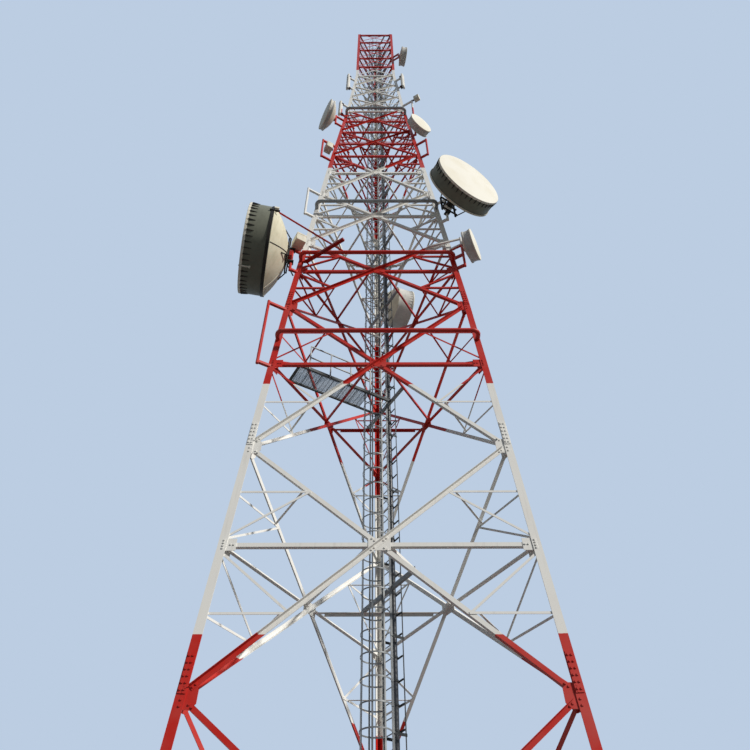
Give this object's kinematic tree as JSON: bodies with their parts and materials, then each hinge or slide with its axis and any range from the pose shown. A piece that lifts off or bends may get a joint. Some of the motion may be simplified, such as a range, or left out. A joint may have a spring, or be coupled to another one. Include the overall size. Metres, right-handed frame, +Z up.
{
  "type": "cell tower scale model at 1:2",
  "caption": "Three-legged steel lattice tower with an inner caged ladder, a catwalk, drum-shaped microwave dishes and antennas, as a scale model at half size.",
  "frame": {"origin": "middle of the underside of the rear foot's base plate", "axes": "+Z up, +X to the right along the front face, +Y away from the front face, towards the rear leg"},
  "size_m": [4.8297, 4.283, 25],
  "materials": {
    "antenna_cover": "matte",
    "bracket_paint": "satin",
    "dish_shell": "satin",
    "feeder_jacket": "matte",
    "galvanised_steel": "matte",
    "radome": "matte",
    "tower_paint": "satin"
  },
  "bodies": {
    "root": {"antenna_mounts": "bracket_paint", "big_dish_left": "dish_shell", "big_dish_left_mount": "bracket_paint", "big_dish_left_radome": "radome", "big_dish_right": "dish_shell", "big_dish_right_mount": "bracket_paint", "big_dish_right_radome": "radome", "cable_run": "feeder_jacket", "cage_hoops": "galvanised_steel", "cage_strips": "galvanised_steel", "catwalk_deck": "galvanised_steel", "catwalk_frame": "galvanised_steel", "catwalk_rail": "galvanised_steel", "corner_links": "tower_paint", "dish_rear": "dish_shell", "dish_rear_mount": "bracket_paint", "dish_right": "dish_shell", "dish_right_mount": "bracket_paint", "dish_stay": "bracket_paint", "dish_top": "dish_shell", "dish_top_mount": "bracket_paint", "dish_upper_left": "dish_shell", "dish_upper_left_mount": "bracket_paint", "dish_upper_right": "dish_shell", "dish_upper_right_mount": "bracket_paint", "feet": "tower_paint", "front_bracing_1": "tower_paint", "front_bracing_2": "tower_paint", "front_bracing_3": "tower_paint", "front_bracing_middle": "tower_paint", "front_bracing_top": "tower_paint", "front_bracing_upper": "tower_paint", "front_tubes": "bracket_paint", "ladder_beams": "galvanised_steel", "ladder_rungs": "galvanised_steel", "ladder_side_rails": "galvanised_steel", "left_bracing_1": "tower_paint", "left_bracing_2": "tower_paint", "left_bracing_3": "tower_paint", "left_bracing_middle": "tower_paint", "left_bracing_top": "tower_paint", "left_bracing_upper": "tower_paint", "leg_left_lower": "tower_paint", "leg_left_upper": "tower_paint", "leg_rear_lower": "tower_paint", "leg_rear_upper": "tower_paint", "leg_right_lower": "tower_paint", "leg_right_upper": "tower_paint", "outrigger": "bracket_paint", "panel_antennas": "antenna_cover", "plan_bracing_lower": "tower_paint", "plan_bracing_upper": "tower_paint", "pole_frames": "tower_paint", "radio_units": "antenna_cover", "right_bracing_1": "tower_paint", "right_bracing_2": "tower_paint", "right_bracing_3": "tower_paint", "right_bracing_middle": "tower_paint", "right_bracing_top": "tower_paint", "right_bracing_upper": "tower_paint"}
  },
  "joints": []
}
